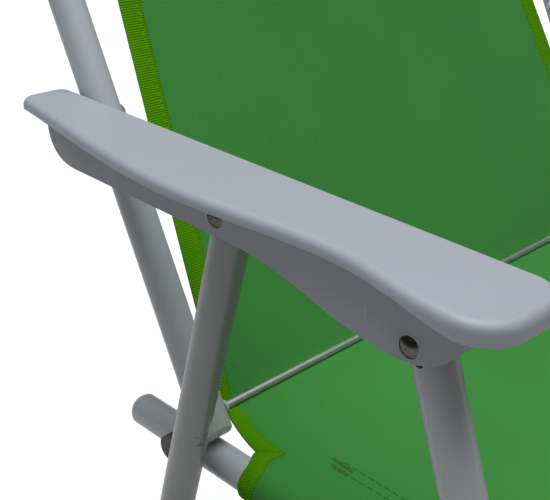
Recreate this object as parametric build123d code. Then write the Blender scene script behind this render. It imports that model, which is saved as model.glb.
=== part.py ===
from build123d import *
from math import asin, cos, hypot, radians, sin, sqrt, tan
import os

# Folding camp chair, millimetres, +Z up, front towards -Y, sitter's right at -X.
# Origin: middle of the bounding box, on the floor.

# Tubes and overall size
tube_d = 20.0
tube_wall = 1.2
rail_span = 486.0          # between the axes of the two seat rails
rail_height = 400.0        # seat rail axis above the floor
back_length = 497.0        # seat rail axis to top bar axis, along the upright
seat_front = 365.0         # back foot to front bar axis of the seat, along the rail
rail_tail = 73.0           # rail behind the foot of the back
leg_offset = 26.0          # leg plane outboard of the rail plane
back_lean = 27.7           # degrees from vertical, top to the rear
rear_lean = 14.3           # degrees from vertical, foot to the rear
front_lean = 19.7          # degrees from vertical, foot to the front
back_bend_r = 60.0
seat_bend_r = 40.0
leg_bend_r = 70.0

# Pivots, measured from the foot of the back (y) and the rail axis (z)
back_pivot_z = 186.0
rear_pivot = (-39.8, 176.4)
front_pivot = (-154.1, 156.4)
hinge_rise = 27.7          # rod above the rail axis, along the upright

# Clearances
slip = 0.05                # pieces that sit in or on each other
running = 0.08             # pin in a turning hole
move_gap = 0.3             # faces that part when the chair folds
side_gap = 0.4             # leg in the armrest channel

# Armrest moulding
arm_top = 196.3            # top face above the rail axis at the foot of the back
arm_slope = 1.5            # degrees, lower to the front
arm_rear = 124.5
arm_nose = 206.0
arm_rear_width = 27.4
arm_mid = 50.0             # along the armrest, ahead of the foot of the back
arm_mid_width = 47.4
arm_neck = 134.0
arm_neck_width = 41.8
arm_nose_width = 50.2
nose_corner = 20.0
rear_corner = 10.0
lip_depth = 9.4            # at the nose
lip_rear = 5.8             # from the neck to the rear end
lip_turn = 158.0           # where the lip starts to deepen, ahead of the foot of the back
lip_round = 4.4
arm_skin = 3.2
skirt_wall = 2.2
outer_wall = 3.3
skirt_depth = 28.1
lobe_drop = 7.3            # skirt below the front pivot
lobe_back = 6.0            # lowest point of the lobe behind the front pivot
skirt_flat = 100.0         # flat of the skirt ends behind the front pivot
skirt_rear = 96.0
skirt_nose = 186.0
rear_round = 25.0
lug_r = 9.5
rib_count = 5
rib_thick = 2.0

# Rivets
rivet_d = 5.0
rivet_head_d = 10.0
rivet_head_h = 2.5
washer_d = 16.0
washer_thick = 2.6

# Back foot cap, hinge rod and bracket
cap_wall = 1.6
cap_taper = 0.6
cap_floor = 6.0            # cup floor below the rod
cap_rise = 11.0            # cup rim above the rod
cap_round = 3.6            # corner of the cup's bottom
rod_d = 4.6
bracket_thick = 1.6
bracket_r = 4.0
bracket_pad = 5.0          # corner radius of the bracket's foot
bracket_foot = 18.0        # length of the bracket's foot on the rail
bracket_set = 7.0          # foot behind the rod

# Small fittings
plug_dome = 6.5
plug_depth = 15.0
leg_top = 7.0              # tube above the leg pivots
spare_hole_d = 4.4
spare_hole_down = 8.2
bumper_r = 8.0
bumper_set = 10.0          # front end of the plate behind the leg's axis
bumper_reach = 18.0
bumper_rise = 6.0
bumper_gap = 0.5
rest_wall = 2.8
rest_length = 26.0
rest_room = 0.6
foot_wall = 2.6
foot_width = 30.0
foot_sole = 3.0
foot_inset = 120.0

# Sling
sleeve_wall = 1.25
sleeve_gap = 0.15
cloth_thick = 1.6
seat_sag = 19.0
back_sag = 10.0
seat_rear_edge = 24.0
back_mid_inset = 34.0
back_mid_rise = 275.0

# Worked out from the values above
tube_r = tube_d / 2
half_span = rail_span / 2
leg_x = half_span + leg_offset
rivet_r = rivet_d / 2
lean = radians(back_lean)
up_y, up_z = sin(lean), cos(lean)
bar_z = foot_sole + tube_r                      # floor bar axis above the floor
front_foot_y = front_pivot[0] - (front_pivot[1] + rail_height - bar_z) * tan(radians(front_lean))
rear_foot_y = rear_pivot[0] + (rear_pivot[1] + rail_height - bar_z) * tan(radians(rear_lean))
foremost = min(front_foot_y - tube_r - foot_wall, -seat_front - tube_r)
rearmost = back_length * up_y + tube_r + sleeve_gap + sleeve_wall
foot_y = -(foremost + rearmost) / 2             # foot of the back in the model's frame
cap_r = tube_r + cap_wall
cloth_r = tube_r + sleeve_gap + sleeve_wall
arm_inner = cap_r + side_gap                    # inner edge outboard of the rail plane
lug_x = half_span + tube_r + move_gap + washer_thick
lining_x = lug_x + side_gap
skirt_x = leg_x + tube_r + side_gap + outer_wall
bracket_x = half_span - cap_r - side_gap        # outer face of the hinge bracket
crease_x = bracket_x - bracket_thick - side_gap   # cloth edge at the crease
turn_r = hinge_rise * up_z - tube_r - move_gap  # room for the cup to turn over the rail


def at(y, z):
    return (foot_y + y, rail_height + z)


def on_back(along):
    return at(along * up_y, along * up_z)


def x_rod(x0, x1, y, z, r):
    rod = Cylinder(r, x1 - x0, align=(Align.CENTER, Align.CENTER, Align.MIN))
    return Pos(x0, y, z) * Rot(0, 90, 0) * rod


def y_rod(x, y0, y1, z, r):
    rod = Cylinder(r, y1 - y0, align=(Align.CENTER, Align.CENTER, Align.MIN))
    return Pos(x, y0, z) * Rot(-90, 0, 0) * rod


def along_rod(start, end, r):
    axis = Vector(*end) - Vector(*start)
    rod = Cylinder(r, axis.length, align=(Align.CENTER, Align.CENTER, Align.MIN))
    return Plane(origin=start, z_dir=axis) * rod


def bent_tube(points, bend_r):
    path = FilletPolyline(*points, radius=bend_r)
    section = Plane(origin=path @ 0, z_dir=path % 0)
    outer = sweep(section * Circle(tube_r), path=path)
    bore = sweep(section * Circle(tube_r - tube_wall), path=path)
    return outer - bore


def u_frame(side_x, open_end, closed_end, bend_r):
    return bent_tube(
        [(-side_x, *open_end), (-side_x, *closed_end), (side_x, *closed_end), (side_x, *open_end)],
        bend_r,
    )


def dome(base_r, height):
    ball_r = (base_r ** 2 + height ** 2) / (2 * height)
    half_turn = asin(base_r / ball_r) / 2
    middle = (ball_r * sin(half_turn), height - ball_r + ball_r * cos(half_turn))
    with BuildPart() as head:
        with BuildSketch(Plane.XZ):
            with BuildLine():
                Line((0, height), (0, 0))
                Line((0, 0), (base_r, 0))
                ThreePointArc((base_r, 0), middle, (0, height))
            make_face()
        revolve(axis=Axis.Z)
    return head.part


def side_face(outline, x0, x1):
    return Pos(x0, 0, 0) * extrude(Plane.YZ * outline, x1 - x0)


def both_sides(piece):
    return piece, mirror(piece, about=Plane.YZ)


def group(*pieces):
    return Compound(children=[solid for piece in pieces for solid in piece.solids()])


# Leg frames: a bent tube with a floor bar, plugged at the top
def leg_axis(pivot, foot, along):
    dy, dz = foot[0] - pivot[0], foot[1] - pivot[1]
    length = hypot(dy, dz)
    return (pivot[0] + dy * along / length, pivot[1] + dz * along / length)


def leg_frame(pivot, foot):
    frame = u_frame(leg_x, leg_axis(pivot, foot, -leg_top), foot, leg_bend_r)
    return frame - x_rod(-leg_x - tube_d, leg_x + tube_d, *pivot, rivet_r + running)


def end_plug(start, outward):
    plane = Plane(origin=start, z_dir=outward)
    spigot = Cylinder(tube_r - tube_wall - slip, plug_depth, align=(Align.CENTER, Align.CENTER, Align.MAX))
    return plane * (dome(tube_r, plug_dome) + spigot)


def leg_plug(pivot, foot):
    top = leg_axis(pivot, foot, -leg_top)
    above = leg_axis(pivot, foot, -2 * leg_top)
    plug = end_plug((-leg_x, *top), (0, above[0] - top[0], above[1] - top[1]))
    return plug - x_rod(-leg_x - tube_d, -leg_x + tube_d, *pivot, rivet_r + running)


def foot_clip(foot):
    x0 = -leg_x + foot_inset
    clip_r = tube_r + foot_wall
    clip = x_rod(x0, x0 + foot_width, *foot, clip_r)
    middle = x0 + foot_width / 2
    clip += Pos(middle, foot[0], foot[1] / 2) * Box(foot_width, 2 * clip_r - foot_wall, foot[1])
    mouth = Pos(middle, foot[0], foot[1] + clip_r) * Box(2 * foot_width, 4 * clip_r, 1.2 * clip_r)
    return clip - x_rod(x0 - 1, x0 + foot_width + 1, *foot, tube_r + slip) - mouth


rear_axle = at(*rear_pivot)
front_axle = at(*front_pivot)
rear_foot = (foot_y + rear_foot_y, bar_z)
front_foot = (foot_y + front_foot_y, bar_z)
rear_leg_frame = leg_frame(rear_axle, rear_foot)
front_leg_frame = leg_frame(front_axle, front_foot)
spare_hole = leg_axis(front_axle, front_foot, spare_hole_down)
for outer_x in (-leg_x - tube_d, leg_x):
    front_leg_frame -= x_rod(outer_x, outer_x + tube_d, *spare_hole, spare_hole_d / 2)
rear_plug_right, rear_plug_left = both_sides(leg_plug(rear_axle, rear_foot))
front_plug_right, front_plug_left = both_sides(leg_plug(front_axle, front_foot))
rear_foot_right, rear_foot_left = both_sides(foot_clip(rear_foot))
front_foot_right, front_foot_left = both_sides(foot_clip(front_foot))


# Bumper plate on the inside of each rear leg, beside the rail
def leg_bumper():
    level = rail_height
    drop = (rear_axle[1] - level) / (rear_axle[1] - rear_foot[1])
    centre = (rear_axle[0] + (rear_foot[0] - rear_axle[0]) * drop, level)
    head = (centre[0] + bumper_set, level + bumper_rise / 2)
    tail = (centre[0] + bumper_reach, level + bumper_rise)
    plate = make_hull((Pos(*head) * Circle(bumper_r - 1) + Pos(*tail) * Circle(bumper_r)).edges())
    inner_x = -half_span - cap_r - bumper_gap
    block = side_face(plate, -leg_x + tube_r / 2, inner_x)
    block -= along_rod((-leg_x, *rear_axle), (-leg_x, *rear_foot), tube_r + slip)
    return block


bumper_right, bumper_left = both_sides(leg_bumper())


# Cradle on each front leg, under the rail
def rail_rest():
    level = rail_height
    drop = (front_axle[1] - level) / (front_axle[1] - front_foot[1])
    centre_y = front_axle[0] + (front_foot[0] - front_axle[0]) * drop
    leg_length = hypot(front_foot[0] - front_axle[0], front_foot[1] - front_axle[1])
    middle = leg_length * drop
    low = leg_axis(front_axle, front_foot, middle + rest_length / 2)
    high = leg_axis(front_axle, front_foot, middle - rest_length / 2)
    collar = along_rod((-leg_x, *low), (-leg_x, *high), tube_r + rest_wall)
    room = cloth_r + rest_room
    front_y, rear_y = centre_y - rest_length / 2, centre_y + rest_length / 2
    cradle = y_rod(-half_span, front_y, rear_y, level, room + rest_wall)
    over = Box(4 * tube_d, 4 * rest_length, 2 * tube_d)
    top_cut = Pos(-half_span, centre_y, level + tube_d - rest_wall) * over
    rest = collar + (cradle - top_cut)
    rest -= y_rod(-half_span, centre_y - 2 * rest_length, centre_y + 2 * rest_length, level, room)
    return rest - along_rod((-leg_x, *front_axle), (-leg_x, *front_foot), tube_r + slip)


rest_right, rest_left = both_sides(rail_rest())


# Back frame, its foot caps and the hinge rod
rod_axle = on_back(hinge_rise)
back_axle = on_back(back_pivot_z / up_z)
tube_foot = on_back(hinge_rise - cap_floor)
back_frame = u_frame(half_span, tube_foot, on_back(back_length), back_bend_r)
back_frame -= x_rod(-half_span - tube_d, half_span + tube_d, *rod_axle, rod_d / 2 + slip)
back_frame -= x_rod(-half_span - tube_d, half_span + tube_d, *back_axle, rivet_r + running)
rod_end = half_span + tube_r
crease_rod = x_rod(-rod_end, rod_end, *rod_axle, rod_d / 2)


def foot_cap():
    plane = Plane(origin=(-half_span, *rod_axle), z_dir=(0, up_y, up_z))
    cap = loft([plane.offset(-turn_r) * Circle(cap_r), plane.offset(cap_rise) * Circle(cap_r - cap_taper)])
    rim = cap.faces().sort_by(Axis.Z)[-1].edges()
    cap = fillet(rim, (cap_wall - cap_taper) / 3)
    sole = plane * Box(4 * cap_r, 4 * cap_r, 4 * cap_r, align=(Align.CENTER, Align.CENTER, Align.MAX))
    cap -= sole - x_rod(-half_span - tube_d, -half_span + tube_d, *rod_axle, turn_r)
    cap = fillet(cap.faces().sort_by(Axis.Z)[0].edges(), cap_round)
    cap -= plane.offset(-cap_floor) * Cylinder(
        tube_r + slip, cap_floor + 2 * cap_rise, align=(Align.CENTER, Align.CENTER, Align.MIN))
    return cap - x_rod(-half_span - tube_d, -half_span + tube_d, *rod_axle, rod_d / 2 + slip)


cap_right, cap_left = both_sides(foot_cap())


# Seat frame, rail plugs and the brackets that carry the rod
seat_frame = u_frame(half_span, at(rail_tail, 0), at(-seat_front, 0), seat_bend_r)
tail_y, tail_z = at(rail_tail, 0)
plug_right, plug_left = both_sides(end_plug((-half_span, tail_y, tail_z), (0, 1, 0)))


def hinge_bracket():
    foot_z = rail_height - tube_r / 3
    heel_y = rod_axle[0] + bracket_set + bracket_pad
    heel = Pos(heel_y, foot_z) * Circle(bracket_pad)
    toe = Pos(heel_y + bracket_foot - 2 * bracket_pad, foot_z) * Circle(bracket_pad)
    plate = make_hull((Pos(*rod_axle) * Circle(bracket_r) + heel + toe).edges())
    bracket = side_face(plate, -bracket_x, -bracket_x + bracket_thick)
    foot = make_hull((heel + toe).edges())
    bracket += side_face(foot, -half_span + tube_r / 2, -bracket_x + bracket_thick / 2)
    bracket -= y_rod(-half_span, foot_y - 4 * tube_d, foot_y + 8 * tube_d, rail_height, tube_r + slip)
    return bracket - x_rod(-half_span, 0, *rod_axle, rod_d / 2 + running)


bracket_right, bracket_left = both_sides(hinge_bracket())


# Armrest: a lipped plate over a channel that takes the tops of the legs
def arm_plan(inset=0.0, spill=0.0):
    near = arm_inner + inset - spill
    far = arm_inner - inset
    with BuildSketch() as plan:
        with BuildLine():
            rear = Line((near, arm_rear - inset), (far + arm_rear_width, arm_rear - inset))
            flank = Spline(
                rear @ 1,
                (far + arm_mid_width, -arm_mid),
                (far + arm_neck_width, -arm_neck),
                (far + arm_nose_width, -arm_nose + nose_corner),
                tangents=[(0.14, -1), (0, -1)],
            )
            cheek = Line(flank @ 1, (far + arm_nose_width, -arm_nose + inset))
            nose = Line(cheek @ 1, (near, -arm_nose + inset))
            Line(nose @ 1, rear @ 0)
        make_face()
        fillet(plan.vertices().group_by(Axis.Y)[0], nose_corner - inset)
        fillet(plan.vertices().group_by(Axis.Y)[-1], rear_corner - inset)
    return plan.sketch


def under_plate(inset, skin):
    return extrude(Pos(0, 0, -lip_depth) * arm_plan(inset), lip_depth - skin)


def armrest():
    plate = extrude(arm_plan(spill=lip_round), -lip_depth)
    plate = fillet(plate.faces().sort_by(Axis.Z)[-1].edges(), lip_round)
    inboard = Box(arm_inner, 4 * arm_nose, 4 * lip_depth, align=(Align.MAX, Align.CENTER, Align.CENTER))
    plate -= Pos(arm_inner, 0, 0) * inboard
    with BuildSketch() as below:
        with BuildLine():
            thin = Line((2 * arm_rear, -lip_rear), (-lip_turn, -lip_rear))
            drop = Spline(thin @ 1, (-arm_nose + nose_corner / 2, -lip_depth), tangents=[(-1, 0), (-1, 0)])
            deep = Line(drop @ 1, (-2 * arm_nose, -lip_depth))
            Polyline(deep @ 1, (-2 * arm_nose, -2 * lip_depth), (2 * arm_rear, -2 * lip_depth), thin @ 0)
        make_face()
    plate -= side_face(below.sketch, 0, 2 * arm_nose)
    shell = plate - under_plate(arm_skin, arm_skin)

    lobe_low = arm_height(front_pivot) - lobe_drop
    with BuildSketch() as side:
        with BuildLine():
            heel = (skirt_rear - rear_round, -skirt_depth)
            back = Spline((skirt_rear, -arm_skin), heel, tangents=[(0, -1), (-1, 0)])
            flat = Line(back @ 1, (front_pivot[0] + skirt_flat, -skirt_depth))
            swoop = Spline(flat @ 1, (front_pivot[0] + lobe_back, lobe_low), tangents=[(-1, 0), (-1, 0.02)])
            front = Spline(swoop @ 1, (-skirt_nose, -arm_skin), tangents=[(-1, -0.02), (-0.1, 1)])
            Line(front @ 1, back @ 0)
        make_face()
    outer = skirt_x - half_span
    inner_face = lining_x - half_span
    block = side_face(side.sketch, inner_face, outer)
    channel_in = inner_face + skirt_wall
    channel_out = outer - outer_wall
    channel_y = skirt_nose - 4 * arm_skin
    hanging = (Align.CENTER, Align.CENTER, Align.MAX)
    channel = Box(channel_out - channel_in, 2 * channel_y, 4 * skirt_depth, align=hanging)
    channel = Pos((channel_in + channel_out) / 2, 0, -arm_skin) * channel
    arm = shell + block - channel
    pitch = (arm_rear + arm_nose) / (rib_count + 1)
    rib = Box(4 * arm_nose_width, rib_thick, lip_rear - arm_skin, align=hanging)
    ribs = [Pos(0, arm_rear - (i + 1) * pitch, -arm_skin / 2) * rib for i in range(rib_count)]
    web = under_plate(arm_skin / 2, arm_skin / 2)
    web -= side_face(Rectangle(4 * arm_nose, 8 * skirt_depth), inner_face, outer)
    for rib in ribs:
        arm += rib & web
    return arm


def arm_height(pivot):
    return pivot[1] - arm_top - pivot[0] * tan(radians(arm_slope))


def left_armrest():
    arm = Pos(half_span, foot_y, rail_height + arm_top) * Rot(arm_slope, 0, 0) * armrest()
    lug = Pos(*back_axle) * Circle(lug_r)
    lug += Pos(back_axle[0], back_axle[1] + lug_r / 2) * Rectangle(2 * lug_r, lug_r)
    arm += side_face(lug, lug_x, lining_x + skirt_wall)
    arm -= x_rod(half_span, lug_x, *back_axle, washer_d / 2 + side_gap)
    for axle in (back_axle, rear_axle, front_axle):
        arm -= x_rod(half_span, leg_x + 2 * tube_d, *axle, rivet_r + slip)
    return arm.solid()


armrest_left, armrest_right = both_sides(left_armrest())


def leg_rivet(axle):
    head = Pos(-skirt_x, *axle) * Rot(0, -90, 0) * dome(rivet_head_d / 2, rivet_head_h)
    return head + x_rod(-skirt_x, -lining_x - slip, *axle, rivet_r)


def back_rivet():
    inner_x = -half_span + tube_r + move_gap
    head = Pos(inner_x, *back_axle) * Rot(0, 90, 0) * dome(rivet_head_d / 2, rivet_head_h)
    tail_x = -lining_x - skirt_wall - slip
    tail = x_rod(tail_x - rivet_head_h / 2, tail_x, *back_axle, rivet_r * 1.5)
    return head + x_rod(tail_x, inner_x, *back_axle, rivet_r) + tail


def washer():
    outer_x, inner_x = -lug_x + slip, -half_span - tube_r - move_gap
    ring = x_rod(outer_x, inner_x, *back_axle, washer_d / 2)
    return ring - x_rod(outer_x - 1, inner_x + 1, *back_axle, rivet_r + slip)


# Sling: seat panel with rail sleeves, back panel with a top bar sleeve
def arc_height(x, rim_x, rim_z, sag):
    rise = rim_z + sag
    arc_r = (rim_x ** 2 + rise ** 2) / (2 * rise)
    return arc_r - sag - sqrt(arc_r ** 2 - x ** 2)


def seat_cloth():
    bore_r = tube_r + sleeve_gap
    front_y, rear_y = at(-seat_front + seat_bend_r, 0)[0], at(-seat_rear_edge, 0)[0]
    grip = tube_r * 0.4
    top_z = sqrt(cloth_r ** 2 - grip ** 2) - slip
    low_z = sqrt(bore_r ** 2 - grip ** 2) + slip
    edge_x = half_span - grip

    def band(x, top, low, top_sag, low_sag):
        with BuildSketch() as strip:
            with BuildLine():
                upper = ThreePointArc((-x, top), (0, -top_sag), (x, top))
                right = Line(upper @ 1, (x, low))
                lower = ThreePointArc(right @ 1, (0, -low_sag), (-x, low))
                Line(lower @ 1, upper @ 0)
            make_face()
        return strip.sketch

    rings = [Pos(side * half_span, 0) * (Circle(cloth_r) - Circle(bore_r)) for side in (-1, 1)]
    section = band(edge_x, top_z, low_z, seat_sag, seat_sag + cloth_thick) + rings[0] + rings[1]
    front_plane = Plane(origin=(0, front_y, rail_height), x_dir=(1, 0, 0), z_dir=(0, -1, 0))
    panel = extrude(front_plane * section, front_y - rear_y)

    flap_x = crease_x
    tuck = cloth_thick / 8
    flap_top = arc_height(flap_x, edge_x, top_z, seat_sag) - tuck
    flap_low = arc_height(flap_x, edge_x, low_z, seat_sag + cloth_thick) + tuck
    flap_front = Plane(origin=(0, rear_y - cloth_thick, rail_height), x_dir=(1, 0, 0), z_dir=(0, -1, 0))
    lip_y = rod_axle[0] - rod_d / 2
    lip_z = rod_axle[1] - rail_height - rod_d - cloth_thick
    flap_rear = Plane(origin=(0, lip_y, rail_height), x_dir=(1, 0, 0), z_dir=(0, -1, 0))
    flap = loft([
        flap_front * band(flap_x, flap_top, flap_low, seat_sag + tuck, seat_sag + cloth_thick - tuck),
        flap_rear * band(flap_x, lip_z + cloth_thick, lip_z, tuck - lip_z - cloth_thick, tuck - lip_z),
    ], ruled=True)
    return panel + flap


def back_cloth():
    low = hinge_rise - rod_d / 2
    high = back_length - tube_r - sleeve_gap - sleeve_wall / 2
    behind = -rod_d / 2 - cloth_thick - move_gap
    middle = (low + high) / 2
    rise = Plane(origin=(0, *at(0, 0)), x_dir=(0, up_y, up_z), z_dir=(1, 0, 0))
    with BuildSketch() as profile:
        with BuildLine():
            face = ThreePointArc((low, behind), (middle, behind - back_sag), (high, 0))
            tip = Line(face @ 1, (high, -cloth_thick))
            belly = (middle, behind - back_sag - cloth_thick)
            rear = ThreePointArc(tip @ 1, belly, (low, behind - cloth_thick))
            Line(rear @ 1, face @ 0)
        make_face()
    sheet = extrude(rise * profile.sketch, half_span, both=True)
    top_x = half_span - back_bend_r
    with BuildSketch() as outline:
        with BuildLine():
            right = Spline(
                (crease_x, low - tube_d),
                (half_span - back_mid_inset, back_mid_rise),
                (top_x, back_length),
            )
            top = Line(right @ 1, (-top_x, back_length))
            left = Spline(
                top @ 1,
                (-half_span + back_mid_inset, back_mid_rise),
                (-crease_x, low - tube_d),
            )
            Line(left @ 1, right @ 0)
        make_face()
    flat = Plane(origin=(0, *at(0, 0)), x_dir=(1, 0, 0), z_dir=(0, -up_z, up_y))
    sheet = sheet & extrude(flat * outline.sketch, 4 * tube_d, both=True)
    bar = on_back(back_length)
    sleeve = x_rod(-top_x, top_x, *bar, cloth_r)
    bore = x_rod(-top_x - 1, top_x + 1, *bar, tube_r + sleeve_gap)
    return sheet + sleeve - bore


pieces = {
    "armrest_right": armrest_right,
    "armrest_left": armrest_left,
    "rear_leg_rivets": group(*both_sides(leg_rivet(rear_axle))),
    "front_leg_rivets": group(*both_sides(leg_rivet(front_axle))),
    "back_rivets": group(*both_sides(back_rivet())),
    "back_washers": group(*both_sides(washer())),
    "back_frame": back_frame,
    "back_foot_cap_right": cap_right,
    "back_foot_cap_left": cap_left,
    "crease_rod": crease_rod,
    "back_fabric": back_cloth(),
    "seat_frame": seat_frame,
    "rail_plug_right": plug_right,
    "rail_plug_left": plug_left,
    "hinge_bracket_right": bracket_right,
    "hinge_bracket_left": bracket_left,
    "seat_fabric": seat_cloth(),
    "rear_leg_frame": rear_leg_frame,
    "rear_leg_plug_right": rear_plug_right,
    "rear_leg_plug_left": rear_plug_left,
    "leg_bumper_right": bumper_right,
    "leg_bumper_left": bumper_left,
    "rear_foot_right": rear_foot_right,
    "rear_foot_left": rear_foot_left,
    "front_leg_frame": front_leg_frame,
    "front_leg_plug_right": front_plug_right,
    "front_leg_plug_left": front_plug_left,
    "rail_rest_right": rest_right,
    "rail_rest_left": rest_left,
    "front_foot_right": front_foot_right,
    "front_foot_left": front_foot_left,
}

os.makedirs("parts", exist_ok=True)
for name, piece in pieces.items():
    export_step(piece, f"parts/{name}.step")

print("pivots, mm")
axles = {"back": back_axle, "rear leg": rear_axle, "front leg": front_axle, "rod": rod_axle}
for name, axle in axles.items():
    print(f"  {name}: y {axle[0]:.3f} z {axle[1]:.3f}")
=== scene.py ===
import math
from bisect import bisect_left
import bpy
from mathutils import Matrix, Vector, noise


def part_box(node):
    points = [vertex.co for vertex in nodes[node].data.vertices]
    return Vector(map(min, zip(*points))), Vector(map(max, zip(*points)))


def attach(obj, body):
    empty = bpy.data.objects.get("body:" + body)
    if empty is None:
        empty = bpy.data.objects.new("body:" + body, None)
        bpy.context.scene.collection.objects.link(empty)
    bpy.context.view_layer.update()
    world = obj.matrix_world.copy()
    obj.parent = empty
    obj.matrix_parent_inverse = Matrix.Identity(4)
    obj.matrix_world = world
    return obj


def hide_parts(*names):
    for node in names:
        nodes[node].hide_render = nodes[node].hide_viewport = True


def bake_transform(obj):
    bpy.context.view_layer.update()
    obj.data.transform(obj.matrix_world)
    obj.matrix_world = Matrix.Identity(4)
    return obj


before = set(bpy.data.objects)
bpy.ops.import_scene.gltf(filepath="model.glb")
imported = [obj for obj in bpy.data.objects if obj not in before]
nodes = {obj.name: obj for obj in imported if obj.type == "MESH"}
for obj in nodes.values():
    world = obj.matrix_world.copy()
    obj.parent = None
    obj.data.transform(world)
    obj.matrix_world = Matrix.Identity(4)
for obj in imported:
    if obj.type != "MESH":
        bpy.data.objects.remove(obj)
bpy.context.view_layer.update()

mm = 0.001
scene = bpy.context.scene
scene.view_settings.view_transform = "Standard"


def middleOf(name):
    low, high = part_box(name)
    return [(a + b) / 2 for a, b in zip(low, high)]


# what the cloth hangs on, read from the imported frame
seatLow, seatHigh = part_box("seat_frame")
rodLow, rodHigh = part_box("crease_rod")
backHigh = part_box("back_frame")[1]
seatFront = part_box("seat_fabric")[0][1]
tubeRadius = (seatHigh[2] - seatLow[2]) / 2
railX = seatHigh[0] - tubeRadius
railZ = (seatHigh[2] + seatLow[2]) / 2
rodRadius = (rodHigh[2] - rodLow[2]) / 2
rod = Vector((0, *middleOf("crease_rod")[1:]))
bar = Vector((0, backHigh[1] - tubeRadius, backHigh[2] - tubeRadius))
backUp = (bar - rod).normalized()
backAhead = Vector((0, -backUp.z, backUp.y))
backSpan = (bar - rod).length
print("frame loaded, back span", round(backSpan, 3))


# shader groups shared by several finishes; an input without a value is a place
def newGroup(name, inputs, outputs):
    group = bpy.data.node_groups.new(name, "ShaderNodeTree")
    for label, value in inputs.items():
        kind = "NodeSocketVector" if value is None else "NodeSocketFloat"
        socket = group.interface.new_socket(name=label, in_out="INPUT", socket_type=kind)
        if value is not None:
            socket.default_value = value
    for label in outputs:
        group.interface.new_socket(name=label, in_out="OUTPUT", socket_type="NodeSocketFloat")
    return group, group.nodes.new("NodeGroupInput"), group.nodes.new("NodeGroupOutput")


def feed(tree, socket, value):
    if isinstance(value, (int, float)):
        socket.default_value = value
    else:
        tree.links.new(value, socket)


def addMath(tree, operation, *values, clamped=False):
    node = tree.nodes.new("ShaderNodeMath")
    node.operation = operation
    node.use_clamp = clamped
    for socket, value in zip(node.inputs, values):
        feed(tree, socket, value)
    return node.outputs[0]


def addNoise(tree, place, density, detail=2.0, rough=0.5):
    node = tree.nodes.new("ShaderNodeTexNoise")
    node.inputs["Detail"].default_value = detail
    node.inputs["Roughness"].default_value = rough
    tree.links.new(place, node.inputs["Vector"])
    feed(tree, node.inputs["Scale"], density)
    return node.outputs["Fac"]


def addRange(tree, value, low, high, outLow=0.0, outHigh=1.0):
    node = tree.nodes.new("ShaderNodeMapRange")
    for socket, number in zip(node.inputs, (value, low, high, outLow, outHigh)):
        feed(tree, socket, number)
    return node.outputs[0]


# ribbed weave on flat cloth coordinates, in metres
ribs = {"driftDensity": 60.0, "drift": 0.9, "ribHeight": 0.36, "pickHeight": 0.12, "midHeight": 0.5,
        "groove": (0.15, -0.95)}


def makeRibWeave():
    group, start, end = newGroup("ribWeave", {"Flat": None, "Rib pitch": mm, "Thread pitch": mm},
                                 ("Height", "Groove"))
    split = group.nodes.new("ShaderNodeSeparateXYZ")
    group.links.new(start.outputs["Flat"], split.inputs[0])
    drift = addNoise(group, start.outputs["Flat"], ribs["driftDensity"])
    drift = addMath(group, "MULTIPLY", drift, ribs["drift"])
    turns = addMath(group, "DIVIDE", split.outputs["Y"], start.outputs["Rib pitch"])
    turns = addMath(group, "ADD", turns, drift)
    rib = addMath(group, "SINE", addMath(group, "MULTIPLY", turns, math.tau))
    picks = addMath(group, "DIVIDE", split.outputs["X"], start.outputs["Thread pitch"])
    pick = addMath(group, "SINE", addMath(group, "MULTIPLY", picks, math.tau))
    ribPart = addMath(group, "MULTIPLY", rib, ribs["ribHeight"])
    pickPart = addMath(group, "MULTIPLY", pick, ribs["pickHeight"])
    height = addMath(group, "ADD", addMath(group, "ADD", ribPart, pickPart), ribs["midHeight"])
    group.links.new(height, end.inputs["Height"])
    group.links.new(addRange(group, rib, *ribs["groove"]), end.inputs["Groove"])
    return group


# broad uneven tone: dye, dirt, gloss
blotches = {"detail": 4.0, "rough": 0.55, "range": (0.3, 0.7)}


def makeSoftBlotch():
    group, start, end = newGroup("softBlotch", {"Place": None, "Density": 1.0}, ("Mask",))
    place, density = start.outputs["Place"], start.outputs["Density"]
    wide = addNoise(group, place, density, blotches["detail"], blotches["rough"])
    group.links.new(addRange(group, wide, *blotches["range"]), end.inputs["Mask"])
    return group


# fine texture of paint and moulded plastic
def makeSkinGrain():
    group, start, end = newGroup("skinGrain", {"Place": None, "Density": 1.0}, ("Height",))
    group.links.new(addNoise(group, start.outputs["Place"], start.outputs["Density"]), end.inputs["Height"])
    return group


# thin scratches and rubbed spots
scratches = {"stretch": (1.0, 1.0, 0.12), "turn": (0.3, 0.2, 0.1), "fineness": 6.0, "lines": (0.62, 0.74),
             "patchDetail": 3.0, "patches": (0.8, 0.85)}


def makeRubMarks():
    group, start, end = newGroup("rubMarks", {"Place": None, "Density": 1.0, "Reach": 0.0}, ("Mask",))
    place, density = start.outputs["Place"], start.outputs["Density"]
    stretch = group.nodes.new("ShaderNodeMapping")
    stretch.inputs["Scale"].default_value = scratches["stretch"]
    stretch.inputs["Rotation"].default_value = scratches["turn"]
    group.links.new(place, stretch.inputs["Vector"])
    lines = addNoise(group, stretch.outputs[0], addMath(group, "MULTIPLY", density, scratches["fineness"]))
    lines = addRange(group, lines, *scratches["lines"])
    patchLow, patchHigh = scratches["patches"]
    patchLow = addMath(group, "SUBTRACT", patchLow, start.outputs["Reach"])
    patches = addRange(group, addNoise(group, place, density, scratches["patchDetail"]), patchLow, patchHigh)
    group.links.new(addMath(group, "MULTIPLY", lines, patches, clamped=True), end.inputs["Mask"])
    return group


ribWeave = makeRibWeave()
softBlotch = makeSoftBlotch()
skinGrain = makeSkinGrain()
rubMarks = makeRubMarks()


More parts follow.
